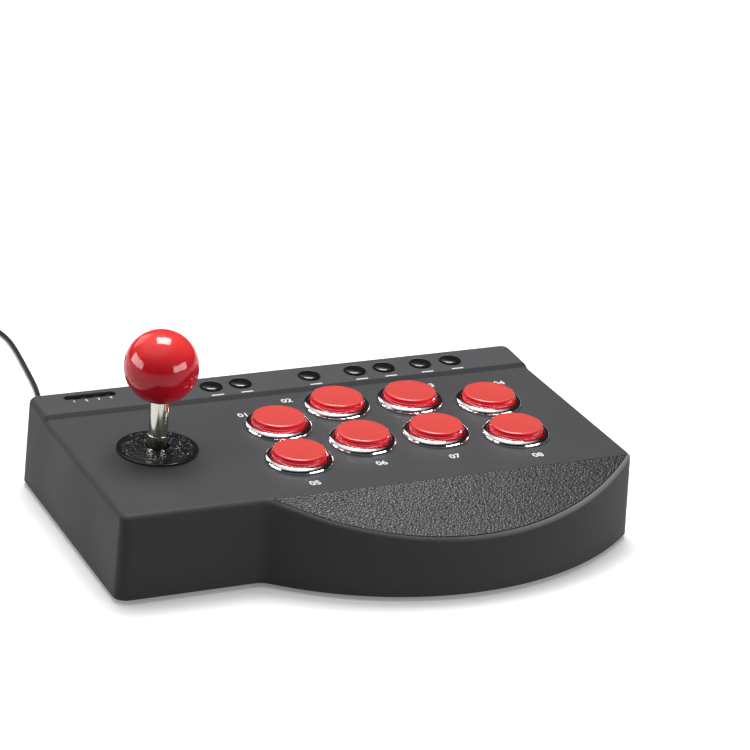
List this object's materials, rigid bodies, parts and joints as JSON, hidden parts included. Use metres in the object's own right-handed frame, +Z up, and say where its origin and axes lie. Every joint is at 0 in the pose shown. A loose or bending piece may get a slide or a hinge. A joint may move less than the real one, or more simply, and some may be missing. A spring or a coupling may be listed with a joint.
{
  "type": "arcade fight stick",
  "caption": "Wired arcade fight stick: ball-top lever, round push buttons and small keys on a low moulded case with a half-moon wrist rest.",
  "frame": {"origin": "middle of the case's bounding box, without the cord, on the surface that it stands on", "axes": "+Z up, -Y towards the player, +X to the player's right, lever on the left"},
  "size_m": [0.311, 0.4333, 0.1033],
  "materials": {
    "case": "fine-textured soft matte",
    "cover": "moulded matte",
    "inlay": "leather-grained",
    "ring": "bright plated",
    "red": "glossy",
    "black_gloss": "glossy",
    "window": "smoked, glossy",
    "steel": "plated, satin",
    "board": "lacquered board",
    "mechanism": "moulded",
    "switch": "moulded",
    "silicone": "soft",
    "rubber": "matte",
    "cord": "smooth, satin"
  },
  "bodies": {
    "case": {"upper_shell": "case", "bottom_cover": "cover", "rest_inlay": "inlay", "light_window": "window", "key_board": "board", "main_board": "board", "lever_housing": "mechanism", "restrictor_gate": "mechanism", "microswitches": "switch", "cord_relief": "cord", "cord_lead": "cord", "cord_coil": "cord", "cord_tail": "cord", "usb_plug": "cord", "bezel_1": "ring", "bezel_2": "ring", "bezel_3": "ring", "bezel_4": "ring", "bezel_5": "ring", "bezel_6": "ring", "bezel_7": "ring", "bezel_8": "ring", "contact_dome_1": "silicone", "contact_dome_2": "silicone", "contact_dome_3": "silicone", "contact_dome_4": "silicone", "contact_dome_5": "silicone", "contact_dome_6": "silicone", "contact_dome_7": "silicone", "contact_dome_8": "silicone", "foot_1": "rubber", "foot_2": "rubber", "foot_3": "rubber", "foot_4": "rubber", "foot_5": "rubber"},
    "button_1": {"button_cap_1": "red"},
    "button_2": {"button_cap_2": "red"},
    "button_3": {"button_cap_3": "red"},
    "button_4": {"button_cap_4": "red"},
    "button_5": {"button_cap_5": "red"},
    "button_6": {"button_cap_6": "red"},
    "button_7": {"button_cap_7": "red"},
    "button_8": {"button_cap_8": "red"},
    "key_1": {"small_button_1": "black_gloss"},
    "key_2": {"small_button_2": "black_gloss"},
    "key_3": {"small_button_3": "black_gloss"},
    "key_4": {"small_button_4": "black_gloss"},
    "key_5": {"small_button_5": "black_gloss"},
    "key_6": {"small_button_6": "black_gloss"},
    "key_7": {"small_button_7": "black_gloss"},
    "mode_switch": {"mode_knob": "black_gloss"},
    "gimbal": {"gimbal_ring": "steel"},
    "lever": {"ball_top": "red", "lever_rod": "steel", "rod_sleeve": "steel", "lever_spring": "steel", "actuator": "mechanism"},
    "dust_follower": {"dust_slide": "mechanism"},
    "washer": {"dust_washer": "black_gloss"}
  },
  "joints": [
    {"name": "press_1", "type": "slide", "parent": "case", "child": "button_1", "axis": [0, 0, -1], "range_m": [0, 0.0025], "stiffness_N_per_m": 300, "deforming": ["contact_dome_1"]},
    {"name": "press_2", "type": "slide", "parent": "case", "child": "button_2", "axis": [0, 0, -1], "range_m": [0, 0.0025], "stiffness_N_per_m": 300, "deforming": ["contact_dome_2"]},
    {"name": "press_3", "type": "slide", "parent": "case", "child": "button_3", "axis": [0, 0, -1], "range_m": [0, 0.0025], "stiffness_N_per_m": 300, "deforming": ["contact_dome_3"]},
    {"name": "press_4", "type": "slide", "parent": "case", "child": "button_4", "axis": [0, 0, -1], "range_m": [0, 0.0025], "stiffness_N_per_m": 300, "deforming": ["contact_dome_4"]},
    {"name": "press_5", "type": "slide", "parent": "case", "child": "button_5", "axis": [0, 0, -1], "range_m": [0, 0.0025], "stiffness_N_per_m": 300, "deforming": ["contact_dome_5"]},
    {"name": "press_6", "type": "slide", "parent": "case", "child": "button_6", "axis": [0, 0, -1], "range_m": [0, 0.0025], "stiffness_N_per_m": 300, "deforming": ["contact_dome_6"]},
    {"name": "press_7", "type": "slide", "parent": "case", "child": "button_7", "axis": [0, 0, -1], "range_m": [0, 0.0025], "stiffness_N_per_m": 300, "deforming": ["contact_dome_7"]},
    {"name": "press_8", "type": "slide", "parent": "case", "child": "button_8", "axis": [0, 0, -1], "range_m": [0, 0.0025], "stiffness_N_per_m": 300, "deforming": ["contact_dome_8"]},
    {"name": "key_press_1", "type": "slide", "parent": "case", "child": "key_1", "axis": [0, 0, -1], "range_m": [0, 0.001], "stiffness_N_per_m": 400},
    {"name": "key_press_2", "type": "slide", "parent": "case", "child": "key_2", "axis": [0, 0, -1], "range_m": [0, 0.001], "stiffness_N_per_m": 400},
    {"name": "key_press_3", "type": "slide", "parent": "case", "child": "key_3", "axis": [0, 0, -1], "range_m": [0, 0.001], "stiffness_N_per_m": 400},
    {"name": "key_press_4", "type": "slide", "parent": "case", "child": "key_4", "axis": [0, 0, -1], "range_m": [0, 0.001], "stiffness_N_per_m": 400},
    {"name": "key_press_5", "type": "slide", "parent": "case", "child": "key_5", "axis": [0, 0, -1], "range_m": [0, 0.001], "stiffness_N_per_m": 400},
    {"name": "key_press_6", "type": "slide", "parent": "case", "child": "key_6", "axis": [0, 0, -1], "range_m": [0, 0.001], "stiffness_N_per_m": 400},
    {"name": "key_press_7", "type": "slide", "parent": "case", "child": "key_7", "axis": [0, 0, -1], "range_m": [0, 0.001], "stiffness_N_per_m": 400},
    {"name": "mode_slide", "type": "slide", "parent": "case", "child": "mode_switch", "axis": [0, 1, 0], "range_m": [-0.002, 0.002]},
    {"name": "lever_fore_aft", "type": "hinge", "parent": "case", "child": "gimbal", "pos_m": [-0.08814, 0.01535, 0.02399], "axis": [1, 0, 0], "range_deg": [-9, 9], "stiffness_Nm_per_rad": 0.8},
    {"name": "lever_side", "type": "hinge", "parent": "gimbal", "child": "lever", "pos_m": [-0.08814, 0.01535, 0.02399], "axis": [0, 1, 0], "range_deg": [-9, 9], "stiffness_Nm_per_rad": 0.8},
    {"name": "dust_fore_aft", "type": "slide", "parent": "case", "child": "dust_follower", "axis": [0, 1, 0], "range_m": [-0.0035, 0.0035]},
    {"name": "dust_side", "type": "slide", "parent": "dust_follower", "child": "washer", "axis": [1, 0, 0], "range_m": [-0.0035, 0.0035]}
  ],
  "couplings": [
    {"joint": "dust_fore_aft", "follows": "lever_fore_aft", "m_per_rad": -0.021012},
    {"joint": "dust_side", "follows": "lever_side", "m_per_rad": 0.021012}
  ]
}
